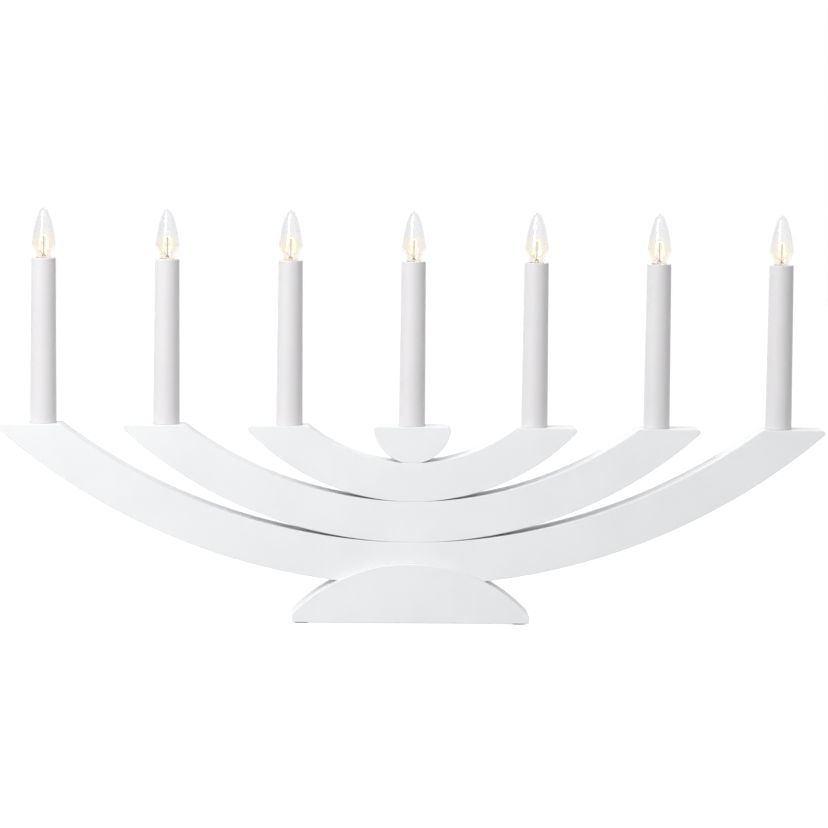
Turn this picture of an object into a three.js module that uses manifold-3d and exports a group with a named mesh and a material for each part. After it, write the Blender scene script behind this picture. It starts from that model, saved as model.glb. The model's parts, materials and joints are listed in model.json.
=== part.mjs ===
// Electric candlestick: seven lamps on three stacked wooden arcs over a half-moon base, painted white.
// Millimetres. X runs to the right, Y to the rear and Z up. The origin lies under the middle of the
// base, on the surface that the candlestick stands on.
import * as THREE from "three";
import { mergeVertices } from "three/addons/utils/BufferGeometryUtils.js";
import Module from "manifold-3d";

const wasm = await Module();
wasm.setup();

// Driving dimensions of the woodwork
const candlePitch = 88;
const armDepth = 27;
const edgeRound = 0.5;
const tipRadius = 2;
const landWidth = 12;
const housingFloor = 27.8;
const plinthHeight = 25.5;
const plinthHalfWidth = 27.9;

// Height is measured at the middle, Beyond is the reach of the tip past its candle, and Inside is the
// reach of the candle's seat on the other side.
const outerArcHeight = 30.9;
const outerArcBeyond = 35.5;
const outerArcInside = 13;
const middleArcHeight = 29.4;
const middleArcBeyond = 33.7;
const middleArcInside = 13.5;
const innerArcHeight = 27.9;
const innerArcBeyond = 32.5;
const innerArcInside = 14;

// Driving dimensions of the base and its pads
const baseWidth = 170;
const baseHeight = 43.5;
const baseEndHeight = 6.8;
const frontLip = 4;
const padThickness = 1;
const padLength = 24;
const padWidth = 10;
const padInset = 2;

// Driving dimensions of the candle sleeves and lamp holders
const sleeveHeight = 118;
const sleeveFootRadius = 9.5;
const sleeveTopRadius = 8.6;
const sleeveWall = 1.2;
const sleeveLip = 1.6;
const sleeveMouthRadius = 6.3;
const spigotRadius = 4.7;
const spigotLength = 7;
const flangeThickness = 2;
const stemRadius = 5.2;
const socketWall = 1.1;
const holderBoreRadius = 1.7;

// Driving dimensions of the bulbs. Heights above the sleeve are positive.
const glassHeight = 36;
const glassRadius = 8.5;
const glassWidestAt = 10;
const glassNeckRadius = 5.3;
const glassNeckTop = 0.8;
const glassWall = 0.6;
const glassTipWall = 1.2;
const glassSealLength = 3;
const capRadius = 4.75;
const capWall = 0.35;
const capHeight = 9;
const capDepth = 3.4;
const insulatorHeight = 1.8;
const contactRadius = 2.4;
const contactTipRadius = 1.8;
const contactHeight = 1.6;
const threadClearance = 0.1;
const filamentWidth = 6.4;
const filamentShoulderWidth = 5;
const filamentFoot = 3.4;
const filamentTop = 16.2;
const filamentRadius = 0.3;
const beadRadius = 1.7;

// The glass narrows to its tip as (1 - share ** glassTaper) ** glassBluntness.
const glassTaper = 1.2;
const glassBluntness = 0.52;

// Driving dimensions of the fasteners and the wiring
const dowelRadius = 4;
const dowelLength = 22;
const dowelSpacing = 28;
const dowelChamfer = 0.8;
const plinthDowelRadius = 3;
const screwSpacing = 60;
const screwRadius = 2;
const screwHeadRadius = 4;
const screwHeadHeight = 2.4;
const screwRecess = 1.5;
const screwLength = 38;
const screwPoint = 4;
const wireRadius = 1.2;
const wireBend = 3;
const grooveWidth = 5;
const grooveRise = 11;
const glandRadius = 4.7;
const glandFlangeRadius = 6.3;
const glandFlange = 1.2;
const glandLength = 10;
const glandBoreRadius = 3;
const glandHeight = 11;

// fit is the gap where one piece is cut to take another; past is how far a cutter runs past a face.
const fit = 0.3;
const past = 2;
const facetAngle = THREE.MathUtils.degToRad(4);
const roundSides = 12;
const sleeveSides = 16;
const boreSides = 8;
const wireSides = 6;
const filamentSides = 4;

// The arcs from the lowest up, each with its candles' distance from the middle in steps of the pitch
const outerArc = { steps: 3, height: outerArcHeight, beyond: outerArcBeyond, inside: outerArcInside };
const middleArc = { steps: 2, height: middleArcHeight, beyond: middleArcBeyond, inside: middleArcInside };
const innerArc = { steps: 1, height: innerArcHeight, beyond: innerArcBeyond, inside: innerArcInside };
const arcs = [outerArc, middleArc, innerArc];

// Places worked out from the dimensions
const baseDepth = armDepth + frontLip;
const armY = frontLip / 2;
const rearY = baseDepth / 2;
const seatHeight = arcs.reduce((level, arc) => level + arc.height, housingFloor) + plinthHeight;
const wireLayer = 2 * wireRadius + fit;
const arcWireY = rearY - 2 * wireLayer + wireRadius;
const riserY = rearY - wireLayer + wireRadius;
const grooveY = arcWireY - wireRadius - fit;
const spigotEnd = seatHeight - spigotLength;

function material(color, roughness, metalness) {
  return new THREE.MeshStandardMaterial({ color, roughness, metalness });
}

const paintedWood = material(0xf1f2f3, 0.45, 0);
const sleevePlastic = material(0xf3efee, 0.4, 0);
const holderPlastic = material(0xe6e4de, 0.5, 0);
const clearGlass = material(0xf4f6f6, 0.05, 0);
const nickel = material(0xc9c4b8, 0.3, 0.9);
const solder = material(0xb4b4b0, 0.4, 0.8);
const glowingWire = material(0xffb45a, 0.5, 0.2);
const beech = material(0xc9a070, 0.7, 0);
const zincSteel = material(0xb8bcc0, 0.4, 0.9);
const wirePvc = material(0xf0f0ee, 0.5, 0);
const rubber = material(0x2b2b2b, 0.9, 0);
clearGlass.transparent = true;
clearGlass.opacity = 0.3;

// Merges a geometry's shared vertices, drops flattened triangles and turns its faces outwards.
function closedBody(geometry) {
  const bare = geometry.index ? geometry.toNonIndexed() : geometry.clone();
  bare.deleteAttribute("normal");
  bare.deleteAttribute("uv");
  const merged = mergeVertices(bare, 1e-4);
  const place = merged.getAttribute("position");
  const corner = [new THREE.Vector3(), new THREE.Vector3(), new THREE.Vector3()];
  const kept = [];
  let volume = 0;
  for (let i = 0; i < merged.index.count; i += 3) {
    const trio = [0, 1, 2].map((k) => merged.index.getX(i + k));
    if (new Set(trio).size < 3) continue;
    trio.forEach((vertex, k) => corner[k].fromBufferAttribute(place, vertex));
    volume += corner[0].dot(corner[1].clone().cross(corner[2]));
    kept.push(trio);
  }
  merged.setIndex(kept.flatMap((trio) => (volume < 0 ? trio.reverse() : trio)));
  return merged;
}

function toSolid(geometry) {
  const body = closedBody(geometry);
  return new wasm.Manifold(
    new wasm.Mesh({
      numProp: 3,
      vertProperties: new Float32Array(body.getAttribute("position").array),
      triVerts: new Uint32Array(body.index.array),
    }),
  );
}

function fromSolid(solid) {
  const mesh = solid.getMesh();
  const geometry = new THREE.BufferGeometry();
  geometry.setAttribute("position", new THREE.BufferAttribute(mesh.vertProperties, 3));
  geometry.setIndex(new THREE.BufferAttribute(mesh.triVerts, 1));
  return geometry;
}

function cut(geometry, cutters) {
  return fromSolid(cutters.reduce((solid, cutter) => solid.subtract(toSolid(cutter)), toSolid(geometry)));
}

function join(geometries) {
  const [first, ...others] = geometries.map(toSolid);
  return fromSolid(others.reduce((solid, other) => solid.add(other), first));
}

function piece(name, geometry, look) {
  const mesh = new THREE.Mesh(closedBody(geometry), look);
  mesh.geometry.computeVertexNormals();
  mesh.name = name;
  return mesh;
}

// Turns a profile of [radius, height] points round the Z axis.
function turned(profile, sides) {
  const points = profile.map(([radius, height]) => new THREE.Vector2(radius, height));
  return new THREE.LatheGeometry(points, sides).rotateX(Math.PI / 2);
}

// The corner radius of a many-sided bore whose flats clear a round piece.
function boreAround(radius, clearance, sides) {
  return (radius + clearance) / Math.cos(Math.PI / sides);
}

// An upright cylinder between two heights.
function upright(radius, x, y, low, high, sides) {
  const body = new THREE.CylinderGeometry(radius, radius, high - low, sides).rotateX(Math.PI / 2);
  return body.translate(x, y, (low + high) / 2);
}

// A cylinder lying along Y.
function lying(radius, x, front, rear, z, sides) {
  const body = new THREE.CylinderGeometry(radius, radius, rear - front, sides);
  return body.translate(x, (front + rear) / 2, z);
}

function block(x0, x1, y0, y1, z0, z1) {
  const body = new THREE.BoxGeometry(x1 - x0, y1 - y0, z1 - z0);
  return body.translate((x0 + x1) / 2, (y0 + y1) / 2, (z0 + z1) / 2);
}

// A slab of an outline drawn in X and Z, between two places in Y, with its rims rounded by one flat.
function slab(outline, front, rear, round) {
  const shape = new THREE.Shape(outline.map(([x, z]) => new THREE.Vector2(x, z)));
  const body = new THREE.ExtrudeGeometry(shape, {
    depth: rear - front - 2 * round,
    bevelEnabled: round > 0,
    bevelThickness: round,
    bevelSize: round,
    bevelOffset: -round,
    bevelSegments: 1,
  });
  return body.rotateX(Math.PI / 2).translate(0, rear - round, 0);
}

// A round tube along a curve.
function tube(curve, radius, steps, sides) {
  const rim = [];
  for (let i = 0; i < sides; i += 1) {
    const angle = (2 * Math.PI * i) / sides;
    rim.push(new THREE.Vector2(radius * Math.cos(angle), radius * Math.sin(angle)));
  }
  const section = new THREE.Shape(rim);
  return new THREE.ExtrudeGeometry(section, { steps, extrudePath: curve, bevelEnabled: false });
}

function throughPoints(points) {
  const places = points.map((point) => new THREE.Vector3(...point));
  return new THREE.CatmullRomCurve3(places, false, "centripetal");
}

// Straight runs between corners, each corner rounded over a length bend to either side of it.
function bentRoute(corners, bend) {
  const places = corners.map((corner) => new THREE.Vector3(...corner));
  const stepTowards = (from, to) => to.clone().sub(from).setLength(bend).add(from);
  const route = new THREE.CurvePath();
  let start = places[0];
  for (let i = 1; i < places.length - 1; i += 1) {
    const before = stepTowards(places[i], places[i - 1]);
    const after = stepTowards(places[i], places[i + 1]);
    route.add(new THREE.LineCurve3(start, before));
    route.add(new THREE.QuadraticBezierCurve3(before, places[i], after));
    start = after;
  }
  route.add(new THREE.LineCurve3(start, places[places.length - 1]));
  return route;
}

// The circle that leaves the flat land at the middle, at the height bottom, and meets the seats' level
// at reach.
function edgeCircle(bottom, reach) {
  const land = landWidth / 2;
  const centre = (reach ** 2 - land ** 2 + seatHeight ** 2 - bottom ** 2) / (2 * (seatHeight - bottom));
  const radius = Math.hypot(land, centre - bottom);
  return { radius, centre, landAngle: Math.asin(land / radius) };
}

function heightOn(circle, x) {
  return circle.centre - Math.sqrt(circle.radius ** 2 - x * x);
}

// Points on a circle from one angle to another, both counted from straight down.
function alongCircle(circle, from, to) {
  const steps = Math.max(2, Math.ceil(Math.abs(to - from) / facetAngle));
  const points = [];
  for (let i = 0; i <= steps; i += 1) {
    const angle = from + ((to - from) * i) / steps;
    points.push([circle.radius * Math.sin(angle), circle.centre - circle.radius * Math.cos(angle)]);
  }
  return points;
}

// The right half of a lower edge: from the land along the circle and round the tip.
function lowerEdge(bottom, reach) {
  const circle = edgeCircle(bottom, reach);
  const tipZ = seatHeight - tipRadius;
  const tipX = Math.sqrt((circle.radius - tipRadius) ** 2 - (tipZ - circle.centre) ** 2);
  const tipAngle = Math.atan2(tipX, circle.centre - tipZ);
  const edge = alongCircle(circle, circle.landAngle, tipAngle);
  const roundSteps = 4;
  for (let i = 1; i <= roundSteps; i += 1) {
    const angle = tipAngle + ((Math.PI - tipAngle) * i) / roundSteps;
    edge.push([tipX + tipRadius * Math.sin(angle), tipZ - tipRadius * Math.cos(angle)]);
  }
  return edge;
}

// The right half of an upper edge, from the seat's inner corner down to the land.
function upperEdge(bottom, reach) {
  const circle = edgeCircle(bottom, reach);
  return alongCircle(circle, Math.atan2(reach, circle.centre - seatHeight), circle.landAngle);
}

function withMirror(half) {
  return [...half, ...half.map(([x, z]) => [-x, z]).reverse()];
}

// Adds to each arc where it lies in the stack and the circle that its rear groove follows.
let level = housingFloor;
for (const arc of arcs) {
  arc.candleX = arc.steps * candlePitch;
  arc.bottom = level;
  arc.top = level + arc.height;
  level = arc.top;
  const lower = edgeCircle(arc.bottom, arc.candleX + arc.beyond);
  arc.groove = { radius: lower.radius - grooveRise, centre: lower.centre };
  arc.grooveEnd = heightOn(arc.groove, arc.candleX);
}
const plinthBottom = level;
const plinthBoreZ = spigotEnd - wireRadius - grooveWidth / 2;

// The hole for a lamp holder's spigot, and the bore from its foot to the wiring groove.
function holderCutters(x, boreZ, boreEnd) {
  return [
    upright(spigotRadius + fit, x, armY, boreZ - grooveWidth / 2, seatHeight + past, roundSides),
    lying(grooveWidth / 2, x, armY, boreEnd, boreZ, boreSides),
  ];
}

// The wiring groove in an arc's rear face.
function grooveCutter(arc) {
  const halfWidth = grooveWidth / 2;
  const endAngle = Math.asin((arc.candleX + halfWidth) / arc.groove.radius);
  const outside = { radius: arc.groove.radius + halfWidth, centre: arc.groove.centre };
  const inside = { radius: arc.groove.radius - halfWidth, centre: arc.groove.centre };
  const outline = [...alongCircle(outside, -endAngle, endAngle), ...alongCircle(inside, endAngle, -endAngle)];
  return slab(outline, grooveY, rearY + past, 0);
}

// The groove for the wire that climbs the rear at the middle.
function riserCutter(low, high) {
  const halfWidth = grooveWidth / 2;
  return block(-halfWidth, halfWidth, riserY - wireRadius - fit, rearY + past, low, high);
}

function dowelHoles(seam, spacing, radius) {
  const half = dowelLength / 2 + fit;
  const places = spacing > 0 ? [-spacing / 2, spacing / 2] : [0];
  return places.map((x) => upright(radius + fit, x, armY, seam - half, seam + half, roundSides));
}

// Two holes from below for the screws, of one radius up to a height.
function screwCutters(radius, top) {
  return [-1, 1].map((side) => upright(radius + fit, (side * screwSpacing) / 2, armY, -past, top + fit, roundSides));
}

function screwHoles() {
  return screwCutters(screwRadius, padThickness + screwRecess + screwLength);
}

function arcBody(arc, extraCutters) {
  const half = [
    ...lowerEdge(arc.bottom, arc.candleX + arc.beyond),
    ...upperEdge(arc.top, arc.candleX - arc.inside),
  ];
  const body = slab(withMirror(half), armY - armDepth / 2, armY + armDepth / 2, edgeRound);
  const holders = [-1, 1].flatMap((side) => holderCutters(side * arc.candleX, arc.grooveEnd, grooveY + past));
  const riser = riserCutter(arc.bottom - past, arc.top + past);
  return cut(body, [...holders, grooveCutter(arc), riser, ...extraCutters]);
}

function plinthBody() {
  const outline = withMirror(lowerEdge(plinthBottom, plinthHalfWidth));
  const body = slab(outline, armY - armDepth / 2, armY + armDepth / 2, edgeRound);
  const riserTop = plinthBoreZ + grooveWidth / 2;
  return cut(body, [
    ...holderCutters(0, plinthBoreZ, rearY + past),
    riserCutter(plinthBottom - past, riserTop),
    ...dowelHoles(plinthBottom, 0, plinthDowelRadius),
  ]);
}

// The base is a half moon. Behind its front lip it is hollowed to the outer arc's lower edge.
function baseBody() {
  const halfWidth = baseWidth / 2;
  const rise = baseHeight - baseEndHeight;
  const radius = (halfWidth ** 2 + rise ** 2) / (2 * rise);
  const endAngle = Math.asin(halfWidth / radius);
  const crown = { radius: -radius, centre: baseHeight - radius };
  const outline = [
    [-halfWidth, padThickness],
    [halfWidth, padThickness],
    ...alongCircle(crown, -endAngle, endAngle),
  ];
  const body = slab(outline, -rearY, rearY, edgeRound);
  const lower = edgeCircle(housingFloor, outerArc.candleX + outerArc.beyond);
  const floor = { radius: lower.radius + fit, centre: lower.centre };
  const reach = Math.asin((halfWidth + past) / floor.radius);
  const housingTop = baseHeight + past;
  const housing = [
    ...alongCircle(floor, -reach, reach),
    [halfWidth + past, housingTop],
    [-halfWidth - past, housingTop],
  ];
  const slotHalf = grooveWidth / 2;
  const slotFront = rearY - glandLength - 2 * wireLayer;
  return cut(body, [
    slab(housing, armY - armDepth / 2 - fit, rearY + past, 0),
    lying(glandRadius + fit, 0, rearY - glandLength - fit, rearY + past, glandHeight, roundSides),
    lying(glandFlangeRadius + fit, 0, rearY - glandFlange - fit, rearY + past, glandHeight, roundSides),
    block(-slotHalf, slotHalf, slotFront, rearY + past, glandHeight - slotHalf, housingTop),
    ...screwHoles(),
    ...screwCutters(screwHeadRadius, padThickness + screwRecess + screwHeadHeight),
  ]);
}

function pad() {
  return new THREE.BoxGeometry(padWidth, padLength, padThickness);
}

// The cord outlet's bush, lying along Y with its flange at the rear.
function glandBody() {
  const inner = glandLength - glandFlange;
  const profile = [
    [glandBoreRadius, 0],
    [glandRadius, 0],
    [glandRadius, inner],
    [glandFlangeRadius, inner],
    [glandFlangeRadius, glandLength],
    [glandBoreRadius, glandLength],
    [glandBoreRadius, 0],
  ];
  return turned(profile, roundSides).rotateX(-Math.PI / 2);
}

function dowelBody(radius) {
  const half = dowelLength / 2;
  const profile = [
    [0, -half],
    [radius - dowelChamfer, -half],
    [radius, -half + dowelChamfer],
    [radius, half - dowelChamfer],
    [radius - dowelChamfer, half],
    [0, half],
  ];
  return turned(profile, roundSides);
}

function screwBody() {
  const profile = [
    [0, 0],
    [screwHeadRadius, 0],
    [screwRadius, screwHeadHeight],
    [screwRadius, screwLength - screwPoint],
    [0, screwLength],
  ];
  return turned(profile, roundSides);
}

// The wire in an arc's groove, with a tail at each end that turns in under the lamp holder.
function arcWire(arc) {
  const endAngle = Math.asin(arc.candleX / arc.groove.radius);
  const places = alongCircle(arc.groove, -endAngle, endAngle).map(([x, z]) => [x, arcWireY, z]);
  const run = tube(throughPoints(places), wireRadius, Math.ceil(places.length / 2), wireSides);
  const tailSteps = 8;
  const tails = [-1, 1].map((side) => {
    const x = side * arc.candleX;
    const corners = [
      [x, arcWireY, arc.grooveEnd],
      [x, armY, arc.grooveEnd],
      [x, armY, spigotEnd - fit],
    ];
    return tube(bentRoute(corners, wireBend), wireRadius, tailSteps, wireSides);
  });
  return join([run, ...tails]);
}

// The wire from the middle lamp down the rear to the cord outlet.
function riserWire() {
  const innerY = rearY - glandLength - fit - wireRadius;
  const corners = [
    [0, armY, spigotEnd - fit],
    [0, armY, plinthBoreZ],
    [0, riserY, plinthBoreZ],
    [0, riserY, housingFloor - wireBend],
    [0, innerY, glandHeight + glandFlangeRadius],
    [0, innerY, glandHeight],
  ];
  const steps = 48;
  return tube(bentRoute(corners, wireBend), wireRadius, steps, wireSides);
}

// A slightly tapered tube with a lip at the top that leaves a mouth for the bulb.
function sleeveBody() {
  const profile = [
    [sleeveFootRadius - sleeveWall, 0],
    [sleeveFootRadius, 0],
    [sleeveTopRadius, sleeveHeight],
    [sleeveMouthRadius, sleeveHeight],
    [sleeveMouthRadius, sleeveHeight - sleeveLip],
    [sleeveTopRadius - sleeveWall, sleeveHeight - sleeveLip],
    [sleeveFootRadius - sleeveWall, 0],
  ];
  return turned(profile, sleeveSides);
}

// A screw socket on a hollow stem, with a flange on the seat and a spigot in the wood.
function holderBody() {
  const top = sleeveHeight - sleeveLip - fit;
  const ledge = sleeveHeight - capDepth - capHeight - contactHeight;
  const bore = boreAround(capRadius, threadClearance, roundSides);
  const outside = bore + socketWall;
  const neck = ledge - 2 * socketWall;
  const flange = sleeveFootRadius - sleeveWall - 2 * fit;
  const profile = [
    [holderBoreRadius, -spigotLength],
    [spigotRadius, -spigotLength],
    [spigotRadius, 0],
    [flange, 0],
    [flange, flangeThickness],
    [stemRadius, flangeThickness],
    [stemRadius, neck],
    [outside, ledge],
    [outside, top],
    [bore, top],
    [bore, ledge],
    [holderBoreRadius, ledge],
    [holderBoreRadius, -spigotLength],
  ];
  return turned(profile, roundSides);
}

// The glass swells from its neck by a smooth step and narrows to its tip by a power curve.
function glassProfile() {
  const points = [];
  const shoulderSteps = 2;
  for (let i = 0; i <= shoulderSteps; i += 1) {
    const share = i / shoulderSteps;
    const swell = share * share * (3 - 2 * share);
    const height = glassNeckTop + (glassWidestAt - glassNeckTop) * share;
    points.push([glassNeckRadius + (glassRadius - glassNeckRadius) * swell, height]);
  }
  const taperSteps = 5;
  for (let i = 1; i <= taperSteps; i += 1) {
    const share = Math.sin((Math.PI * i) / (2 * taperSteps));
    const radius = i === taperSteps ? 0 : glassRadius * (1 - share ** glassTaper) ** glassBluntness;
    points.push([radius, glassWidestAt + (glassHeight - glassWidestAt) * share]);
  }
  return points;
}

function glassBody() {
  const seal = capRadius - capWall - fit;
  const sealFoot = -capDepth - glassSealLength;
  const outside = [[seal, sealFoot], [seal, -capDepth], [glassNeckRadius, 0], ...glassProfile()];
  const inside = outside.map(([radius, height], i) => {
    const atTip = i === outside.length - 1;
    return atTip ? [0, height - glassTipWall] : [Math.max(radius - glassWall, 0), height];
  });
  return turned([...inside.reverse(), ...outside], roundSides);
}

function capBody() {
  const foot = -capDepth - capHeight;
  const profile = [
    [0, foot],
    [contactRadius, foot],
    [capRadius, foot + insulatorHeight],
    [capRadius, -capDepth - fit],
    [capRadius - capWall, -capDepth - fit],
    [capRadius - capWall, foot + insulatorHeight + capWall],
    [0, foot + insulatorHeight + capWall],
  ];
  return turned(profile, roundSides);
}

function contactBody() {
  const top = -capDepth - capHeight;
  const profile = [
    [0, top - contactHeight],
    [contactTipRadius, top - contactHeight],
    [contactRadius, top - contactHeight / 2],
    [contactRadius, top],
    [0, top],
  ];
  return turned(profile, roundSides);
}

// The glass stem with its bead, the hoop of filament that stands on it, and the support wire.
function filamentBody() {
  const foot = -capDepth - glassSealLength;
  const footRadius = capRadius - capWall - glassWall - 2 * fit;
  const profile = [
    [0, foot],
    [footRadius, foot],
    [beadRadius, -capDepth],
    [beadRadius, glassNeckTop],
    [0, glassNeckTop + beadRadius],
  ];
  const half = filamentWidth / 2;
  const shoulder = filamentShoulderWidth / 2;
  const hoop = throughPoints([
    [-beadRadius / 2, 0, 0],
    [-half, 0, filamentFoot + half],
    [-shoulder, 0, filamentTop - shoulder / 2],
    [0, 0, filamentTop],
    [shoulder, 0, filamentTop - shoulder / 2],
    [half, 0, filamentFoot + half],
    [beadRadius / 2, 0, 0],
  ]);
  const hoopSteps = 12;
  const support = upright(filamentRadius, 0, 0, 0, filamentTop + filamentRadius, filamentSides);
  return join([turned(profile, boreSides), tube(hoop, filamentRadius, hoopSteps, filamentSides), support]);
}

// Puts a sleeve, a holder and a bulb on a seat, and gives them the candle's number.
function candle(number, x) {
  const group = new THREE.Group();
  group.position.set(x, armY, seatHeight);
  group.add(piece(`candle_sleeve_${number}`, sleeveBody(), sleevePlastic));
  group.add(piece(`lamp_holder_${number}`, holderBody(), holderPlastic));
  const bulb = new THREE.Group();
  bulb.position.z = sleeveHeight;
  bulb.add(piece(`bulb_glass_${number}`, glassBody(), clearGlass));
  bulb.add(piece(`bulb_cap_${number}`, capBody(), nickel));
  bulb.add(piece(`bulb_contact_${number}`, contactBody(), solder));
  bulb.add(piece(`bulb_filament_${number}`, filamentBody(), glowingWire));
  group.add(bulb);
  return group;
}

function placed(mesh, x, y, z) {
  mesh.position.set(x, y, z);
  return mesh;
}

const candlestick = new THREE.Group();
candlestick.name = "candlestick";

// Woodwork
const middleSeam = dowelHoles(outerArc.top, dowelSpacing, dowelRadius);
const innerSeam = dowelHoles(middleArc.top, 0, dowelRadius);
const plinthSeam = dowelHoles(plinthBottom, 0, plinthDowelRadius);
candlestick.add(piece("base", baseBody(), paintedWood));
candlestick.add(piece("outer_arc", arcBody(outerArc, [...screwHoles(), ...middleSeam]), paintedWood));
candlestick.add(piece("middle_arc", arcBody(middleArc, [...middleSeam, ...innerSeam]), paintedWood));
candlestick.add(piece("inner_arc", arcBody(innerArc, [...innerSeam, ...plinthSeam]), paintedWood));
candlestick.add(piece("centre_plinth", plinthBody(), paintedWood));

// Fasteners and pads, left and right
[-1, 1].forEach((side, i) => {
  const hand = ["left", "right"][i];
  const dowel = piece(`arc_dowel_${hand}`, dowelBody(dowelRadius), beech);
  const screw = piece(`base_screw_${hand}`, screwBody(), zincSteel);
  const foot = piece(`base_pad_${hand}`, pad(), rubber);
  candlestick.add(placed(dowel, (side * dowelSpacing) / 2, armY, outerArc.top));
  candlestick.add(placed(screw, (side * screwSpacing) / 2, armY, padThickness + screwRecess));
  candlestick.add(placed(foot, side * (baseWidth / 2 - padInset - padWidth / 2), 0, padThickness / 2));
});
candlestick.add(placed(piece("inner_arc_dowel", dowelBody(dowelRadius), beech), 0, armY, middleArc.top));
candlestick.add(placed(piece("plinth_dowel", dowelBody(plinthDowelRadius), beech), 0, armY, plinthBottom));

// Wiring
candlestick.add(piece("outer_wire", arcWire(outerArc), wirePvc));
candlestick.add(piece("middle_wire", arcWire(middleArc), wirePvc));
candlestick.add(piece("inner_wire", arcWire(innerArc), wirePvc));
candlestick.add(piece("riser_wire", riserWire(), wirePvc));
candlestick.add(placed(piece("cord_gland", glandBody(), holderPlastic), 0, rearY - glandLength, glandHeight));

// Candles, numbered from the left
const candleCount = 2 * arcs.length + 1;
for (let i = 0; i < candleCount; i += 1) {
  candlestick.add(candle(i + 1, (i - arcs.length) * candlePitch));
}

export default candlestick;
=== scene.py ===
"""Looks of an electric candlestick: seven lamps on three stacked wooden arcs, painted white.

Metres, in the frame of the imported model: X to the right, Y to the rear, Z up from the table.
Places come from the frame's boxes. The dimensions below repeat those of the part's source.
"""

import json
import math

import bmesh
import bpy
import numpy as np
from mathutils import Matrix, Vector

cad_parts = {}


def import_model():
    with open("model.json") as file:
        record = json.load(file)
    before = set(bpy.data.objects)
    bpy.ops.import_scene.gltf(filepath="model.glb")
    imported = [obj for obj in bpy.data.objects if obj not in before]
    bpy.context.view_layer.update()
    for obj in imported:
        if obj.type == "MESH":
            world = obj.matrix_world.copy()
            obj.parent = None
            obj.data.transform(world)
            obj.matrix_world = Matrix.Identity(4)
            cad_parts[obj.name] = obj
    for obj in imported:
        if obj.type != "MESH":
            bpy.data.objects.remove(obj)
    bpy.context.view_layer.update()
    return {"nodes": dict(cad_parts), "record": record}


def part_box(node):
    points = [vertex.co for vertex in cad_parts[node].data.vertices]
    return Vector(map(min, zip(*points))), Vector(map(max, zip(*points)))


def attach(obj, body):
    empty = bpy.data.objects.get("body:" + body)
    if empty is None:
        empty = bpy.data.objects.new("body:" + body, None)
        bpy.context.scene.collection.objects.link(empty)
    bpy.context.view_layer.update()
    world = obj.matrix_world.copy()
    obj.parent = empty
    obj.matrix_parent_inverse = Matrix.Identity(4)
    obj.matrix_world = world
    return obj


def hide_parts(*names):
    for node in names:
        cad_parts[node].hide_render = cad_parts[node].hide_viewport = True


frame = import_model()

MM = 0.001

# Play between fitted pieces, and how far a cutter reaches out of the wood
FIT = 0.3 * MM
PAST = 2 * MM

# Woodwork: the seats' height, the arcs' faces, the candles' row and the rounds
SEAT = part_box("outer_arc")[1].z
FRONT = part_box("outer_arc")[0].y
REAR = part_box("outer_arc")[1].y
AXIS_Y = (FRONT + REAR) / 2
EDGE_ROUND = 0.45 * MM
RIM_EASE = 0.3 * MM
TIP_RADIUS = 2 * MM
SEAT_CORNER = 1.2 * MM
# The flat land on which each arc is glued to the piece below it
LAND = 12 * MM
# Each arc's outer candle, the reach of its tip past that candle, and of its seat inwards from it
ARCS = {
    "outer_arc": (7, 35.5 * MM, 13.0 * MM),
    "middle_arc": (6, 33.7 * MM, 13.5 * MM),
    "inner_arc": (5, 32.5 * MM, 14.0 * MM),
}
PLINTH_REACH = 27.9 * MM
BASE_END = 6.8 * MM
BASE_END_ROUND = 2.5 * MM
BASE_FOOT_ROUND = 1 * MM
# Pads: the power of their outline's curve, and the round of their rims
PAD_SQUARENESS = 8
PAD_RIM = 0.3 * MM

# Wiring: grooves, bores, wires and the cord outlet's bush
WIRE_RADIUS = 1.2 * MM
WIRE_LAYER = 2 * WIRE_RADIUS + FIT
WIRE_BEND = 3 * MM
RISER_BENDS = (0.9, 1, 1, 1)
GROOVE_WIDTH = 5 * MM
GROOVE_RISE = 11 * MM
ARC_WIRE_Y = REAR - 2 * WIRE_LAYER + WIRE_RADIUS
RISER_Y = REAR - WIRE_LAYER + WIRE_RADIUS
SPIGOT_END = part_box("lamp_holder_4")[0].z
BUSH_LOW, BUSH_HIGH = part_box("cord_gland")
BUSH_Z = (BUSH_LOW.z + BUSH_HIGH.z) / 2
BUSH_LENGTH = 10 * MM
BUSH_FLANGE = (BUSH_HIGH.x - BUSH_LOW.x) / 2
BUSH_HOLE = 5 * MM
BUSH_SINK = 1.5 * MM
# The bush's profile in millimetres: radius and distance from its inner end, and the bends
BUSH_PROFILE = (3.9, 0), (4.7, 0), (4.7, 8.8), (6.3, 8.8), (6.3, 10), (3, 10), (3, 0), (3.9, 0)
BUSH_BENDS = (0.3, 0.15, 0.15, 0.5, 0.6, 0.3)

# The base's holes for the screws' heads
HEAD_HOLE = 4.3 * MM
HEAD_SINK = 2.7 * MM
# The cross recess: the reach and half the width of its arms, and its depth
CROSS_REACH = 2 * MM
CROSS_HALF = 0.5 * MM
CROSS_DEPTH = 1.7 * MM

# Screws and dowels, in millimetres. The thread grows and fades over stretches from either end.
SCREW_HEAD_RADIUS = 4
SCREW_HEAD_RIM = 0.3
SCREW_HEAD_HEIGHT = 2.4
SCREW_ROOT = 1.6
SCREW_POINT_ROOT = 1.5
SCREW_POINT = 4
SCREW_PITCH = 1.8
SCREW_THREAD = 0.5
THREAD_GROWS = (6, 8)
THREAD_FADES = (3, 0.5)
DOWEL_FLUTES = 20
DOWEL_FLUTE_SHARE = 0.015
DOWEL_TAPER = 0.5
DOWEL_TAPER_LENGTH = 1
DOWEL_BEND = 0.3

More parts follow.
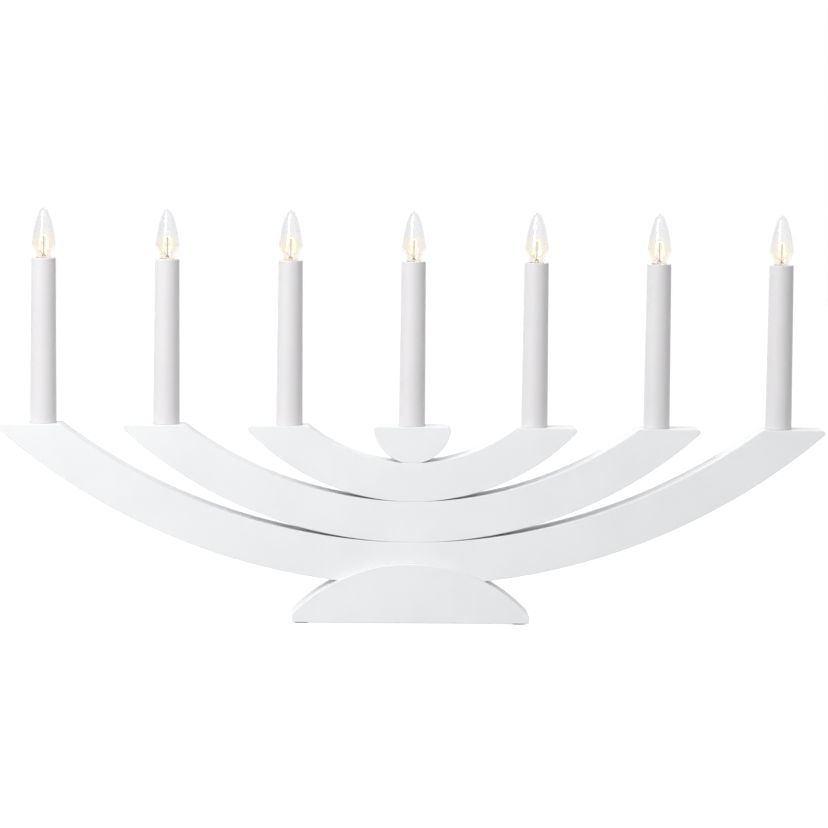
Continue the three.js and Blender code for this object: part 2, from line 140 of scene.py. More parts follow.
# Sleeves, in millimetres
CANDLES = range(1, 8)
SLEEVE_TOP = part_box("candle_sleeve_4")[1].z
SLEEVE_HEIGHT = 118
SLEEVE_FOOT_RADIUS = 9.5
SLEEVE_TOP_RADIUS = 8.6
SLEEVE_WALL = 1.2
SLEEVE_LIP = 1.6
SLEEVE_MOUTH = 6.3
SLEEVE_BENDS = (0.35, 0.8, 0.5, 0.4, 0.4, 0.2)

# Bulbs, in millimetres, with heights above the sleeve's top
GLASS_HEIGHT = 36
GLASS_RADIUS = 8.5
GLASS_WIDEST = 10
GLASS_NECK_RADIUS = 5.3
GLASS_NECK_TOP = 0.8
GLASS_WALL = 0.5
GLASS_TAPER = 1.2
GLASS_BLUNTNESS = 0.52
# The glass's colour holds a painted warm glow of the lit filament below the first height, and is
# cool above the second
GLOW_PAINTED_BELOW = 12
GLOW_GONE_ABOVE = 21
CAP_RADIUS = 4.75
CAP_WALL = 0.35
CAP_TOP = -3.7
CAP_FOOT = -12.4
CAP_PITCH = 1.814
CAP_THREAD = 0.45
INSULATOR_TOP = -10.6
INSULATOR_LAP = 0.3
INSULATOR_STEP = 0.1
INSULATOR_BEND = 0.15
CONTACT_RADIUS = 2.4
CONTACT_FOOT = -14
SEAL_RADIUS = 4.1
SEAL_FOOT = -6.4
FILAMENT_RADIUS = 0.34
SUPPORT_RADIUS = 0.2
LEAD_SPREAD = 3.1
HOOP_FOOT = 6
HOOP_HOT = 11
HOOP_TOP = 15.9
HOOP_TOP_HALF = 2.4
SUPPORT_HEIGHTS = (1.5, 9, HOOP_TOP + 0.4)
# The glass stem's profile, radius and height: a flared foot, a waist and a bead round the leads
STEM = (
    (0, SEAL_FOOT),
    (3.2, SEAL_FOOT),
    (2.2, CAP_TOP),
    (1.1, -0.6),
    (1.7, 0.9),
    (1.1, 2.3),
    (0, 2.6),
)
STEM_BENDS = (0.4, 1.2, 0.8, 0.9, 0.6)
# A lead's way from the bead to the hoop's foot: distance from the axis, and height
LEAD = (0.7, 1), (0.8, 3), (LEAD_SPREAD, 5.2), (LEAD_SPREAD, HOOP_FOOT + 0.4)
LEAD_BEND = 0.7
# The hoops are mounted by hand, so each is turned differently about its bulb's axis, in degrees
HOOP_TURNS = (12, 24, 8, 52, 18, 5, 38)


def middle_x(node):
    """The middle of a node's box, across."""
    low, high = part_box(node)
    return (low.x + high.x) / 2


def candle_x(number):
    """A candle's place across."""
    return middle_x(f"candle_sleeve_{number}")


# Surfaces

MERGE = 1e-7
SHARP = math.radians(34)


def surface(name, grid, loop=False, capped=False):
    """A mesh of quads over a grid of points (lines, points in a line, 3), each line a closed ring.

    loop joins the last line to the first, and capped closes each end line with a fan to its middle.
    Points that fall together, as at a pole, are merged, and the faces are turned outwards.
    """
    if capped:
        middle = grid[[0, -1]].mean(axis=1, keepdims=True)
        ends = np.broadcast_to(middle, (2, *grid.shape[1:]))
        grid = np.concatenate([ends[:1], grid, ends[1:]])
    lines, across = grid.shape[:2]
    index = np.arange(lines * across).reshape(lines, across)
    index = np.append(index, index[:, :1], axis=1)
    if loop:
        index = np.append(index, index[:1], axis=0)
    corners = index[:-1, :-1], index[1:, :-1], index[1:, 1:], index[:-1, 1:]
    quads = np.stack(corners, axis=-1).reshape(-1, 4)
    mesh = bpy.data.meshes.new(name)
    mesh.from_pydata(grid.reshape(-1, 3).tolist(), [], quads.tolist())
    return tidied(mesh)


def tidied(mesh):
    """Merges doubled points, drops collapsed faces, closes any facet that a cut left out and turns
    all faces outwards, smooth but for real edges."""
    body = bmesh.new()
    body.from_mesh(mesh)
    bmesh.ops.remove_doubles(body, verts=body.verts, dist=MERGE)
    bmesh.ops.dissolve_degenerate(body, edges=body.edges, dist=MERGE)
    bmesh.ops.holes_fill(body, edges=body.edges, sides=4)
    bmesh.ops.recalc_face_normals(body, faces=body.faces)
    body.to_mesh(mesh)
    body.free()
    mesh.shade_smooth()
    mesh.set_sharp_from_angle(angle=SHARP)
    return mesh


def turned(name, radius, height, x, loop=False, sides=72):
    """A turned piece on a candle's axis: radius and height, in millimetres, along a profile.

    A point is (radius cos a, radius sin a, height), a going round in equal steps. radius may vary
    with a.
    """
    radius, height, angle = np.broadcast_arrays(radius, height, round_angles(sides))
    across = radius * np.cos(angle) * MM + x
    deep = radius * np.sin(angle) * MM + AXIS_Y
    return surface(name, np.stack([across, deep, height * MM + SLEEVE_TOP], axis=-1), loop)


def round_angles(sides):
    """Equal steps round a full turn."""
    return np.linspace(0, 2 * np.pi, sides, endpoint=False)


def column(values):
    """A profile's values as a column, to be paired with the angles round it."""
    return np.asarray(values, float)[:, None]


def smooth_step(share):
    """s²(3 - 2s): from 0 to 1, level at both ends."""
    return share**2 * (3 - 2 * share)


def bent(corners, bend, steps=6):
    """Straight runs between corners, each turn the parabola (1-t)² a + 2t(1-t) corner + t² b.

    a and b lie at a distance bend to either side of the corner. A point a fifth of that outside
    each keeps the straight run's shading straight.
    """
    corners = np.asarray(corners, float)
    reaches = np.broadcast_to(bend, len(corners) - 2)
    t = np.linspace(0, 1, steps)[:, None]
    line = [corners[:1]]
    for before, corner, after, reach in zip(corners, corners[1:], corners[2:], reaches):
        back = (before - corner) / np.linalg.norm(before - corner)
        ahead = (after - corner) / np.linalg.norm(after - corner)
        a, b = corner + back * reach, corner + ahead * reach
        turn = (1 - t) ** 2 * a + 2 * t * (1 - t) * corner + t**2 * b
        line += [(a + back * reach / 5)[None], turn, (b + ahead * reach / 5)[None]]
    line.append(corners[-1:])
    return np.concatenate(line)


def tube(name, path, radius, side, sides=16):
    """A round tube along a path, with rounded ends. side is a direction the path never runs along.

    Round the tangent T, with N = side x T and B = T x N, a point is
    path + radius (N cos a + B sin a). The ends are quarter rounds: at angle e the radius is
    radius cos e, and the tube is longer by radius sin e.
    """
    path = np.asarray(path, float)
    tangent = np.gradient(path, axis=0)
    tangent /= np.linalg.norm(tangent, axis=1, keepdims=True)
    end = np.linspace(np.pi / 2, 0, 5)[:-1]
    out = (radius * np.sin(end))[:, None]
    girth = radius * np.concatenate([np.cos(end), np.ones(len(path)), np.cos(end)[::-1]])
    start, finish = path[0] - tangent[0] * out, path[-1] + tangent[-1] * out
    path = np.concatenate([start, path, finish[::-1]])
    tangent = np.pad(tangent, ((len(end), len(end)), (0, 0)), mode="edge")
    normal = np.cross(side, tangent)
    normal /= np.linalg.norm(normal, axis=1, keepdims=True)
    second = np.cross(tangent, normal)
    angle = round_angles(sides)[:, None]
    ring = normal[:, None] * np.cos(angle) + second[:, None] * np.sin(angle)
    return surface(name, path[:, None] + girth[:, None, None] * ring)


def block(name, low, high):
    """An upright box from its lowest to its highest corner, used only to cut with."""
    x, y = np.array([low[0], high[0]]), np.array([low[1], high[1]])
    ring = np.stack([x[[0, 1, 1, 0]], y[[0, 0, 1, 1]]], axis=-1)
    lines = [np.column_stack([ring, np.full(4, z)]) for z in (low[2], high[2])]
    return surface(name, np.array(lines), capped=True)


def rod(name, radius, start, end, sides=48):
    """A plain round rod between two places, used only to cut with: start or end + radius (F cos a +
    S sin a), F and S square to the rod."""
    start, end = np.array(start, float), np.array(end, float)
    along = (end - start) / np.linalg.norm(end - start)
    first = np.cross(along, (1, 0, 0))
    second = np.cross(along, first)
    angle = round_angles(sides)[:, None]
    ring = radius * (first * np.cos(angle) + second * np.sin(angle))
    return surface(name, np.array([start + ring, end + ring]), capped=True)


def carved(mesh, cutters):
    """The mesh less each of the cutters, by exact booleans."""
    body = bpy.data.objects.new(mesh.name, mesh)
    bpy.context.scene.collection.objects.link(body)
    tools = []
    for cutter in cutters:
        tool = bpy.data.objects.new(cutter.name, cutter)
        bpy.context.scene.collection.objects.link(tool)
        boolean = body.modifiers.new(cutter.name, "BOOLEAN")
        boolean.operation, boolean.solver, boolean.object = "DIFFERENCE", "EXACT", tool
        tools.append(tool)
    bpy.context.view_layer.update()
    graph = bpy.context.evaluated_depsgraph_get()
    cut = bpy.data.meshes.new_from_object(body.evaluated_get(graph))
    for spent in [body, *tools]:
        bpy.data.objects.remove(spent)
    return tidied(cut)


# Materials

WHITE = "#FFFFFF"


def linear(hex_colour):
    """An sRGB hex colour as linear RGBA."""
    channels = np.array([int(hex_colour[i : i + 2], 16) for i in (1, 3, 5)]) / 255
    low, high = channels / 12.92, ((channels + 0.055) / 1.055) ** 2.4
    return (*np.where(channels <= 0.04045, low, high).tolist(), 1)


def add(tree, kind, inputs=None, **settings):
    """Adds a node. settings are its properties. An input, by name or number, is linked where a
    socket is given and set to any other value."""
    node = tree.nodes.new(kind)
    for name, value in settings.items():
        setattr(node, name, value)
    for name, value in (inputs or {}).items():
        if isinstance(value, bpy.types.NodeSocket):
            tree.links.new(value, node.inputs[name])
        else:
            node.inputs[name].default_value = value
    return node


def new_material(name):
    """An empty material, its node tree and the object coordinates, in metres."""
    material = bpy.data.materials.new(name)
    material.use_nodes = True
    material.node_tree.nodes.clear()
    place = add(material.node_tree, "ShaderNodeTexCoord").outputs["Object"]
    return material, material.node_tree, place


def shown(material, tree, shader):
    """The material, with the shader as its surface."""
    add(tree, "ShaderNodeOutputMaterial", {"Surface": shader})
    return material


def per_metre(size_mm):
    """A noise texture's scale for features of a size in millimetres."""
    return 1 / (size_mm * MM)


def cloudy(tree, place, size_mm, low, high, detail=2):
    """Soft noise of a real size, mapped to run from low to high."""
    grain = {"Vector": place, "Scale": per_metre(size_mm), "Detail": detail}
    noise = add(tree, "ShaderNodeTexNoise", grain).outputs["Fac"]
    span = {"Value": noise, "From Min": 0.3, "From Max": 0.7, "To Min": low, "To Max": high}
    return add(tree, "ShaderNodeMapRange", span).outputs["Result"]


def mottled(tree, place, size_mm, first, second, detail=2):
    """A colour that drifts between two tones in soft patches of a real size."""
    patches = cloudy(tree, place, size_mm, 0, 1, detail)
    tones = {"Factor": patches, "A": linear(first), "B": linear(second)}
    return add(tree, "ShaderNodeMix", tones, data_type="RGBA").outputs["Result"]


def rippled(tree, place, size_mm, depth_mm, detail=2):
    """A bump node's inputs for soft ripples of a real size and depth."""
    return {"Height": cloudy(tree, place, size_mm, 0, 1, detail), "Distance": depth_mm * MM}


def satin_white_lacquer():
    """White satin lacquer on sanded wood: sprayed, so it has a faint orange peel 1.5 mm across,
    soft sheen, and a tone that drifts by a hair where the coat is thicker. Grain 0.9 mm wide shows
    in the gloss, drawn out along the arcs."""
    material, tree, place = new_material("satin white lacquer")
    peel = add(tree, "ShaderNodeBump", rippled(tree, place, 1.5, 0.012, 1)).outputs["Normal"]
    drawn_out = {"Vector": place, "Scale": (0.05, 1, 1)}
    along = add(tree, "ShaderNodeMapping", drawn_out).outputs["Vector"]
    grain = add(tree, "ShaderNodeBump", {"Normal": peel, **rippled(tree, along, 0.9, 0.008)})
    shader = add(
        tree,
        "ShaderNodeBsdfPrincipled",
        {
            "Base Color": mottled(tree, place, 45, "#F3F4F5", "#EFF0F2"),
            "Roughness": cloudy(tree, place, 12, 0.36, 0.44),
            "IOR": 1.48,
            "Normal": grain.outputs["Normal"],
        },
    )
    return shown(material, tree, shader.outputs[0])


def satin_polypropylene():
    """Polypropylene sleeve, injection moulded: satin, slightly translucent, drawn very faintly
    along its length where it left the mould, in lines 0.8 mm apart."""
    material, tree, place = new_material("satin polypropylene")
    drawn_out = {"Vector": place, "Scale": (1, 1, 0.04)}
    along = add(tree, "ShaderNodeMapping", drawn_out).outputs["Vector"]
    lines = add(tree, "ShaderNodeBump", rippled(tree, along, 0.8, 0.006))
    shader = add(
        tree,
        "ShaderNodeBsdfPrincipled",
        {
            "Base Color": mottled(tree, place, 30, "#E5E3E4", "#E2E0E2"),
            "Roughness": cloudy(tree, place, 6, 0.3, 0.38),
            "IOR": 1.49,
            "Subsurface Weight": 0.12,
            "Subsurface Radius": (1.0, 0.75, 0.55),
            "Subsurface Scale": 2 * MM,
            "Normal": lines.outputs["Normal"],
        },
    )
    return shown(material, tree, shader.outputs[0])


def moulded_plastic():
    """White PBT of the lamp holders and the cord outlet, moulded: fine eroded texture 0.4 mm
    across, soft sheen, a little yellower than the paint."""
    material, tree, place = new_material("moulded PBT")
    eroded = add(tree, "ShaderNodeBump", rippled(tree, place, 0.4, 0.01))
    shader = add(
        tree,
        "ShaderNodeBsdfPrincipled",
        {
            "Base Color": mottled(tree, place, 8, "#E9E7E1", "#E3E1DB"),
            "Roughness": cloudy(tree, place, 3, 0.42, 0.52),
            "IOR": 1.52,
            "Normal": eroded.outputs["Normal"],
        },
    )
    return shown(material, tree, shader.outputs[0])


def above_sleeve(tree, place, low_mm, high_mm, **settings):
    """0 below one height over the sleeve's top and 1 above another."""
    height = add(tree, "ShaderNodeSeparateXYZ", {"Vector": place}).outputs["Z"]
    low, high = SLEEVE_TOP + low_mm * MM, SLEEVE_TOP + high_mm * MM
    span = {"Value": height, "From Min": low, "From Max": high}
    return add(tree, "ShaderNodeMapRange", span, **settings).outputs["Result"]


def blown_glass():
    """Soda-lime bulb glass, blown: clear, with painted shade where the eye looks along the wall,
    and a painted warm glow round the lit filament. Lamps shine through it. The waviness of blowing
    is 6 mm across."""
    material, tree, place = new_material("blown soda-lime glass")
    # Painted glow of the lit filament: the tint is warm low in the bulb and cool above it
    high = above_sleeve(tree, place, GLOW_PAINTED_BELOW, GLOW_GONE_ABOVE, interpolation_type="SMOOTHSTEP")
    # Painted shade: the tint greys where the eye looks along the wall, darkening the bulb's rims
    painted_rim_shade = add(tree, "ShaderNodeLayerWeight", {"Blend": 0.35}).outputs["Facing"]
    clear = {"Factor": high, "A": linear("#FBF6EF"), "B": linear("#F6F6F7")}
    clear = add(tree, "ShaderNodeMix", clear, data_type="RGBA").outputs["Result"]
    edge = {"Factor": high, "A": linear("#EEEAE5"), "B": linear("#DFE0E2")}
    edge = add(tree, "ShaderNodeMix", edge, data_type="RGBA").outputs["Result"]
    tint = add(tree, "ShaderNodeMix", {"Factor": painted_rim_shade, "A": clear, "B": edge}, data_type="RGBA")
    wavy = add(tree, "ShaderNodeBump", rippled(tree, place, 6, 0.01, 0))
    glass = add(
        tree,
        "ShaderNodeBsdfPrincipled",
        {
            "Base Color": tint.outputs["Result"],
            "Roughness": 0.0,
            "IOR": 1.5,
            "Transmission Weight": 1.0,
            "Normal": wavy.outputs["Normal"],
        },
    )
    shadow = add(tree, "ShaderNodeLightPath").outputs["Is Shadow Ray"]
    open_air = add(tree, "ShaderNodeBsdfTransparent", {"Color": linear("#F4F4F4")})
    either = {"Fac": shadow, 1: glass.outputs[0], 2: open_air.outputs[0]}
    return shown(material, tree, add(tree, "ShaderNodeMixShader", either).outputs[0])


def plated_metal(name, first, second, roughness, size_mm):
    """Plated or soldered metal: bright, with a bloom of size_mm that changes its roughness and
    tone."""
    material, tree, place = new_material(name)
    dull, bright = roughness + 0.06, roughness - 0.06
    dimpled = add(tree, "ShaderNodeBump", rippled(tree, place, 0.5, 0.004))
    shader = add(
        tree,
        "ShaderNodeBsdfPrincipled",
        {
            "Base Color": mottled(tree, place, size_mm, first, second),
            "Metallic": 1.0,
            "Roughness": cloudy(tree, place, size_mm / 2, bright, dull),
            "Normal": dimpled.outputs["Normal"],
        },
    )
    return shown(material, tree, shader.outputs[0])


def glowing_tungsten():
    """Tungsten coil at about 2700 K: white-hot along its middle and yellower at its feet."""
    material, tree, place = new_material("glowing tungsten")
    hot = above_sleeve(tree, place, HOOP_FOOT, HOOP_HOT)
    glow = {"Factor": hot, "A": linear("#FFC36B"), "B": linear("#FFE0A0")}
    shader = add(
        tree,
        "ShaderNodeBsdfPrincipled",
        {
            "Base Color": linear("#8A8178"),
            "Metallic": 1.0,
            "Roughness": 0.5,
            "Emission Color": add(tree, "ShaderNodeMix", glow, data_type="RGBA").outputs["Result"],
            "Emission Strength": 2.4,
        },
    )
    return shown(material, tree, shader.outputs[0])


def raw_beech():
    """Beech dowel, turned and unpainted: grain lines 0.8 mm apart along its length, with short
    flecks."""
    material, tree, place = new_material("raw beech")
    drawn_out = {"Vector": place, "Scale": (1, 1, 0.06)}
    along = add(tree, "ShaderNodeMapping", drawn_out).outputs["Vector"]
    pores = add(tree, "ShaderNodeBump", rippled(tree, along, 0.5, 0.02))
    shader = add(
        tree,
        "ShaderNodeBsdfPrincipled",
        {
            "Base Color": mottled(tree, along, 0.8, "#CDA878", "#B98F5E", 4),
            "Roughness": 0.7,
            "Normal": pores.outputs["Normal"],
        },
    )
    return shown(material, tree, shader.outputs[0])


def extruded_pvc():
    """PVC wire insulation, extruded: smooth, soft sheen, slightly creamy."""
    material, tree, place = new_material("extruded PVC")
    uneven = add(tree, "ShaderNodeBump", rippled(tree, place, 2, 0.01))
    shader = add(
        tree,
        "ShaderNodeBsdfPrincipled",
        {
            "Base Color": mottled(tree, place, 10, "#F2F1EC", "#EBEAE4"),
            "Roughness": cloudy(tree, place, 4, 0.38, 0.48),
            "IOR": 1.53,
            "Normal": uneven.outputs["Normal"],
        },
    )
    return shown(material, tree, shader.outputs[0])


def foam_rubber():
    """Closed-cell rubber pad, die cut: pale grey, dull, cells 0.3 mm across."""
    material, tree, place = new_material("foam rubber")
    spread = {"Vector": place, "Scale": per_metre(0.3)}
    cells = add(tree, "ShaderNodeTexVoronoi", spread).outputs["Distance"]
    tones = {"Factor": cells, "A": linear("#C6C5C2"), "B": linear("#B2B1AE")}
    pitted = add(tree, "ShaderNodeBump", {"Height": cells, "Distance": 0.05 * MM})
    shader = add(
        tree,
        "ShaderNodeBsdfPrincipled",
        {
            "Base Color": add(tree, "ShaderNodeMix", tones, data_type="RGBA").outputs["Result"],
            "Roughness": 0.9,
            "Normal": pitted.outputs["Normal"],
        },
    )
    return shown(material, tree, shader.outputs[0])


def vitrite():
    """Black glass of the bulb cap's insulator, pressed: glossy."""
    material, tree, place = new_material("black vitrite")
    pressed = add(tree, "ShaderNodeBump", rippled(tree, place, 1, 0.01))
    shader = add(
        tree,
        "ShaderNodeBsdfPrincipled",
        {
            "Base Color": mottled(tree, place, 2, "#17171A", "#222226"),
            "Roughness": 0.15,
            "Normal": pressed.outputs["Normal"],
        },
    )
    return shown(material, tree, shader.outputs[0])


# The record's finishes, and two more that share the cap's
LOOKS = {
    "painted_wood": satin_white_lacquer(),
    "sleeve_plastic": satin_polypropylene(),
    "holder_plastic": moulded_plastic(),
    "bulb_glass": blown_glass(),
    "nickel_cap": plated_metal("nickel plate", "#D9D4C8", "#C4BFB2", 0.22, 3),
    "solder": plated_metal("tin solder", "#B9B9B6", "#9FA0A0", 0.38, 1.5),
    "filament": glowing_tungsten(),
    "beech": raw_beech(),
    "zinc_steel": plated_metal("zinc plate", "#C3C7CC", "#AEB3BA", 0.3, 4),
    "wire_pvc": extruded_pvc(),
    "pad_rubber": foam_rubber(),
}
VITRITE = vitrite()
MOLYBDENUM = plated_metal("drawn molybdenum", "#8F8A86", "#777370", 0.35, 1)


def place_piece(mesh, body, slot, node, look=None):
    """Shows a mesh on a body in place of a CAD node, in a slot's finish or in a look of its own."""
    piece = bpy.data.objects.new(mesh.name, mesh)
    bpy.context.scene.collection.objects.link(piece)
    mesh.materials.clear()
    mesh.materials.append(look or LOOKS[slot])
    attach(piece, body)
    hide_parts(node)


def dress_nodes():
    """Gives every CAD node the finish of its slot. The lamp holders keep their CAD shape."""
    slots = {row["node"]: row["material_slot"] for row in frame["record"]["subparts"]}
    for node, piece in frame["nodes"].items():
        for slot in piece.material_slots:
            slot.material = LOOKS[slots[node]]


# Camera, lamps and stage

CAMERA_PLACE = Vector((-0.075, -2.5, 0.371))
CAMERA_AIM = Vector((0.0008, -0.017, 0.1516))
CAMERA_ROLL = math.radians(0.68)
FRAME_WIDTH = 589.9 * MM
SENSOR_WIDTH = 36

# Two soft keys from the left front, so that right sides are grey, and wide panels before and
# behind: name, place, the height aimed at on the Z axis, width and height, and watts
LAMPS = (
    ("high key", (-0.9, -0.9, 1.3), 0.2, (0.8, 0.8), 12),
    ("low key", (-0.84, -1.4, 0.9), 0.2, (0.6, 0.6), 7.2),
    ("front panel", (0, -0.8, 1.4), 0.15, (1.6, 0.8), 2.7),
    ("rear panel", (0, 0.9, 1.1), 0.15, (1.6, 0.6), 4.6),
)
EVEN_FILL = 0.4
FLOOR_HALF = 4.0
FLOOR_GLOW = 0.9


def aimed(place, aim):
    """The turn that points a camera or a lamp from its place at its aim."""
    return (aim - place).to_track_quat("-Z", "Y")


def camera():
    """The photograph's view: 2.5 m away, a little above the object and left of its middle."""
    data = bpy.data.cameras.new("camera")
    data.sensor_width = SENSOR_WIDTH
    data.lens = data.sensor_width * (CAMERA_AIM - CAMERA_PLACE).length / FRAME_WIDTH
    eye = bpy.data.objects.new("camera", data)
    turn = aimed(CAMERA_PLACE, CAMERA_AIM).to_matrix().to_4x4()
    roll = Matrix.Rotation(CAMERA_ROLL, 4, "Z")
    eye.matrix_world = Matrix.Translation(CAMERA_PLACE) @ turn @ roll
    bpy.context.scene.collection.objects.link(eye)
    bpy.context.scene.camera = eye


def lamps():
    """The rectangular area lamps of the table above."""
    for name, place, aim_height, size, watts in LAMPS:
        data = bpy.data.lights.new(name, "AREA")
        data.shape = "RECTANGLE"
        data.size, data.size_y = size
        data.energy = watts
        light = bpy.data.objects.new(name, data)
        light.location = place
        light.rotation_euler = aimed(Vector(place), Vector((0, 0, aim_height))).to_euler()
        bpy.context.scene.collection.objects.link(light)


def seen_directly(tree):
    """1 for what the camera sees, also in gloss and through glass, 0 for light on the object."""
    path = add(tree, "ShaderNodeLightPath").outputs
    seen = path["Is Camera Ray"]
    for other in ("Is Glossy Ray", "Is Transmission Ray"):
        either = add(tree, "ShaderNodeMath", {0: seen, 1: path[other]}, operation="MAXIMUM")
        seen = either.outputs[0]
    return seen


def world():
    """Plain white where it is seen. As light it is a soft even fill."""
    studio = bpy.data.worlds.new("studio")
    bpy.context.scene.world = studio
    studio.use_nodes = True
    tree = studio.node_tree
    tree.nodes.clear()
    span = {"Value": seen_directly(tree), "To Min": EVEN_FILL, "To Max": 1.0}
    strength = add(tree, "ShaderNodeMapRange", span).outputs["Result"]
    sky = add(tree, "ShaderNodeBackground", {"Color": linear(WHITE), "Strength": strength})
    add(tree, "ShaderNodeOutputWorld", {"Surface": sky.outputs[0]})


def floor():
    """A matt white floor. Where it is seen it is white, but for a soft shadow under the object."""
    corners = [(-FLOOR_HALF, -FLOOR_HALF, 0), (FLOOR_HALF, -FLOOR_HALF, 0)]
    corners += [(FLOOR_HALF, FLOOR_HALF, 0), (-FLOOR_HALF, FLOOR_HALF, 0)]
    mesh = bpy.data.meshes.new("floor")
    mesh.from_pydata(corners, [], [(0, 1, 2, 3)])
    material, tree = new_material("matt white floor")[:2]
    matt = add(tree, "ShaderNodeBsdfDiffuse", {"Color": linear("#D4D4D4")})
    grey = add(tree, "ShaderNodeBsdfDiffuse", {"Color": linear("#A0A0A0")})
    light = add(tree, "ShaderNodeEmission", {"Color": linear(WHITE), "Strength": FLOOR_GLOW})
    white = add(tree, "ShaderNodeAddShader", {0: light.outputs[0], 1: grey.outputs[0]})
    either = {"Fac": seen_directly(tree), 1: matt.outputs[0], 2: white.outputs[0]}
    surfaced = add(tree, "ShaderNodeMixShader", either)
    mesh.materials.append(shown(material, tree, surfaced.outputs[0]))
    ground = bpy.data.objects.new("floor", mesh)
    bpy.context.scene.collection.objects.link(ground)


# Woodwork


def edge_circle(bottom, reach):
    """Centre height and radius of a circle on the Z axis through (LAND / 2, bottom) and
    (reach, SEAT)."""
    land = LAND / 2
    centre = (reach**2 - land**2 + SEAT**2 - bottom**2) / (2 * (SEAT - bottom))
    return centre, math.hypot(land, centre - bottom)


def mirrored(points, normals):
    """Both halves of an edge from its right half, which starts at the middle."""
    flip = np.array([-1, 1])
    left = slice(None, 0, -1)
    both = np.concatenate([points[left] * flip, points])
    return both, np.concatenate([normals[left] * flip, normals])


def arc_edges(bottom, top, reach, seat_reach):
    """The lower and upper edges of an arc, each as points and inward normals in X and Z.

    Lower: z = centre - sqrt(radius² - x²), not below the land, then round the tip with TIP_RADIUS.
    Upper: the lesser of such a circle and the seats' level, blended over SEAT_CORNER. With no top
    the upper edge is the seat alone.
    """
    centre, radius = edge_circle(bottom, reach)
    tip_z = SEAT - TIP_RADIUS
    tip_x = math.sqrt((radius - TIP_RADIUS) ** 2 - (tip_z - centre) ** 2)
    start = math.atan2(tip_x, centre - tip_z)
    # Even steps along the edge, and finer ones by the seat's corner
    seat_share = seat_reach / (tip_x - TIP_RADIUS)
    by_seat = np.clip(seat_share + np.linspace(-0.03, 0.03, 25), 0, 1)
    shares = np.unique(np.concatenate([np.linspace(0, 1, 121), by_seat]).round(9))
    round_tip = np.linspace(0, 1, 11)[1:]

    x = shares * radius * math.sin(start)
    z = centre - np.sqrt(radius**2 - x**2)
    inward = np.column_stack([-x * smooth_step(np.clip(x / LAND, 0, 1)), centre - z])
    inward /= np.linalg.norm(inward, axis=1, keepdims=True)
    angle = start + (math.pi - start) * round_tip
    outward = np.column_stack([np.sin(angle), -np.cos(angle)])
    run = np.column_stack([x, np.maximum(z, bottom)])
    tip = (tip_x, tip_z) + TIP_RADIUS * outward
    lower = mirrored(np.concatenate([run, tip]), np.concatenate([inward, -outward]))

    x = np.concatenate([shares * (tip_x - TIP_RADIUS), tip_x - TIP_RADIUS * (1 - round_tip)])
    z = np.full_like(x, SEAT)
    if top is not None:
        centre, radius = edge_circle(top, seat_reach)
        hollow = np.maximum(centre - np.sqrt(radius**2 - x**2), top)
        blend = np.maximum(SEAT_CORNER - np.abs(hollow - SEAT), 0) ** 2 / (4 * SEAT_CORNER)
        z = np.minimum(hollow, SEAT) - blend
    slope = np.gradient(z, x)
    normals = np.column_stack([slope, -np.ones_like(slope)]) / np.hypot(slope, 1)[:, None]
    return lower, mirrored(np.column_stack([x, z]), normals)


def base_edges(low, high, half):
    """The half moon's underside and crown. The crown is a circle from (0, high) to
    (half, BASE_END). Both run into the upright end by a round: BASE_FOOT_ROUND below and
    BASE_END_ROUND above."""
    rise = high - BASE_END
    radius = (half**2 + rise**2) / (2 * rise)
    centre = high - radius
    quarter = np.radians(np.linspace(0, 90, 9))[1:]
    steps = np.linspace(0, 1, 121)
    middle = [[half, (low + BASE_END) / 2]]
    from_end = [[-1, 0]]

    foot = half - BASE_FOOT_ROUND
    outward = np.column_stack([np.sin(quarter), -np.cos(quarter)])
    flat = np.column_stack([steps * foot, np.full_like(steps, low)])
    round_foot = (foot, low + BASE_FOOT_ROUND) + BASE_FOOT_ROUND * outward
    up = np.tile((0.0, 1.0), (len(steps), 1))
    inward = np.concatenate([up, -outward, from_end])
    lower = mirrored(np.concatenate([flat, round_foot, middle]), inward)

    end = half - BASE_END_ROUND
    end_z = centre + math.sqrt((radius - BASE_END_ROUND) ** 2 - end**2)
    turn = math.atan2(end, end_z - centre)
    to_end = turn + (math.pi / 2 - turn) * np.linspace(0, 1, 9)[1:]
    angle = np.concatenate([steps * turn, to_end])
    outward = np.column_stack([np.sin(angle), np.cos(angle)])
    crown = (0, centre) + radius * outward
    crown[len(steps) :] = (end, end_z) + BASE_END_ROUND * outward[len(steps) :]
    upper = mirrored(np.concatenate([crown, middle]), np.concatenate([-outward, from_end]))
    return lower, upper


def board(name, edges, front, rear):
    """A board between a lower and an upper edge, with rounded rims.

    Across the board each section is a closed ring. At angle a on a rim the point lies
    EDGE_ROUND (1 - cos a) in from the edge and EDGE_ROUND (1 - sin a) from the face. A point
    RIM_EASE outside each round keeps the flat faces' shading flat.
    """
    angle = np.radians(np.linspace(0, 90, 7))
    inset = np.concatenate([[0], EDGE_ROUND * (1 - np.cos(angle)), [EDGE_ROUND + RIM_EASE]])
    depth = np.concatenate([[EDGE_ROUND + RIM_EASE], EDGE_ROUND * (1 - np.sin(angle)), [0]])

    def rim(edge, y):
        """Points over a rim: along the edge, and across it at the insets and the depths y."""
        points, normals = edge
        place = points[:, None] + normals[:, None] * inset[:, None]
        across = np.broadcast_to(y, place.shape[:2])
        return np.stack([place[..., 0], across, place[..., 1]], axis=-1)

    lower, upper = edges
    ring = [
        rim(lower, front + depth),
        rim(upper, front + depth)[:, ::-1],
        rim(upper, rear - depth),
        rim(lower, rear - depth)[:, ::-1],
    ]
    return surface(name, np.concatenate(ring, axis=1))


